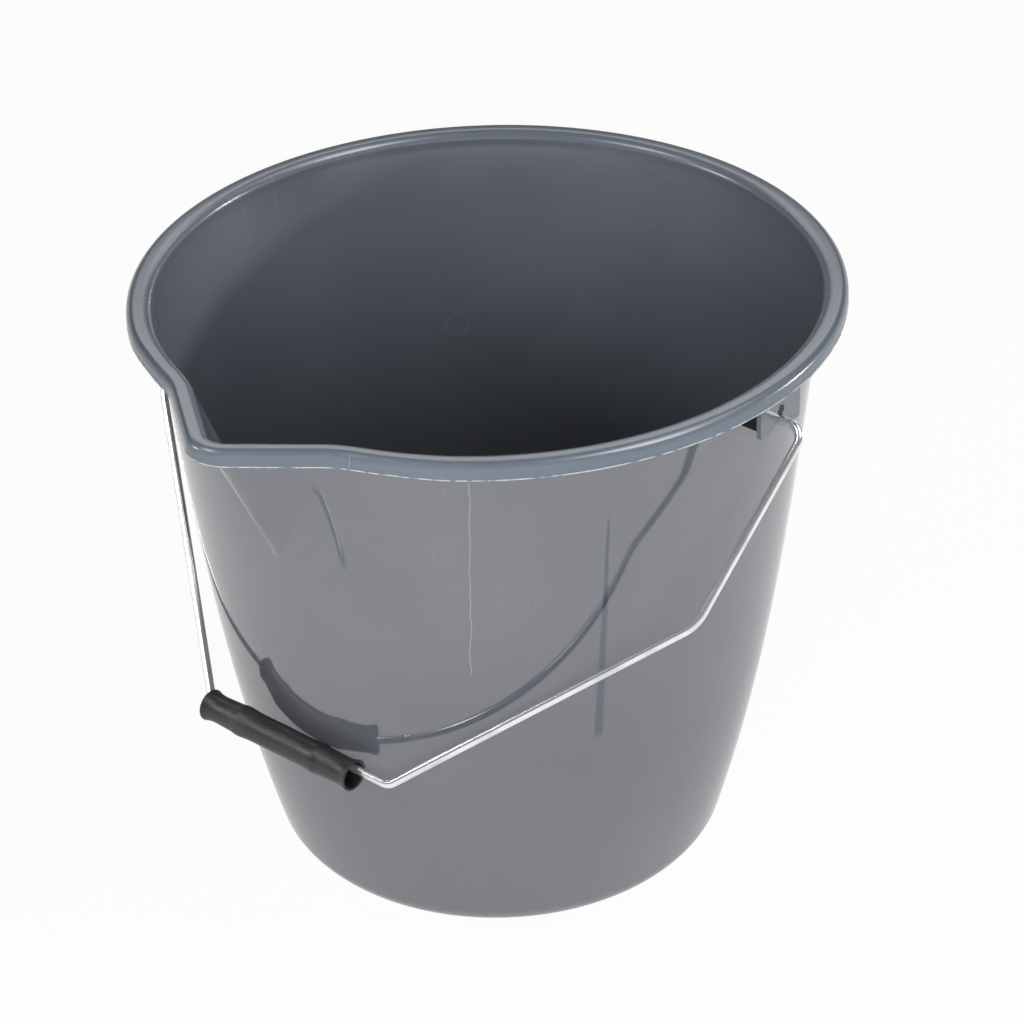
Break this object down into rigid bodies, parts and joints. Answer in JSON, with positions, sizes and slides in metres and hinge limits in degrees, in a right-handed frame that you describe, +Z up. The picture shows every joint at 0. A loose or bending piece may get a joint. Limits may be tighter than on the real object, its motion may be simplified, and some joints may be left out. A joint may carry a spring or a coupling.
{
  "type": "plastic bucket",
  "caption": "Dark grey plastic farm bucket with a pouring spout, a rolled hollow lip, snap-in ears and a swinging wire bail that carries a loose black grip",
  "frame": {"origin": "centre of the bucket's round foot, on the floor plane", "axes": "+Z up out of the mouth, -Y out of the spout, X along the line through the two bail ears"},
  "size_m": [0.3318, 0.3335, 0.275],
  "materials": {
    "bucket_plastic": "glossy moulded plastic, lightly scratched",
    "bail_wire": "bright zinc-plated steel wire",
    "grip_plastic": "satin black plastic tube"
  },
  "bodies": {
    "bucket": {"bucket_body": "bucket_plastic"},
    "bail": {"wire_bail": "bail_wire"},
    "handle_grip": {"grip": "grip_plastic"}
  },
  "joints": [
    {"name": "bail_swing", "type": "hinge", "parent": "bucket", "child": "bail", "pos_m": [0, 0.0065, 0.2573], "axis": [-1, 0, 0], "range_deg": [0, 282.5]},
    {"name": "grip_spin", "type": "hinge", "parent": "bail", "child": "handle_grip", "pos_m": [-0.009, -0.13129, 0.10055], "axis": [1, 0, 0], "continuous": true}
  ]
}
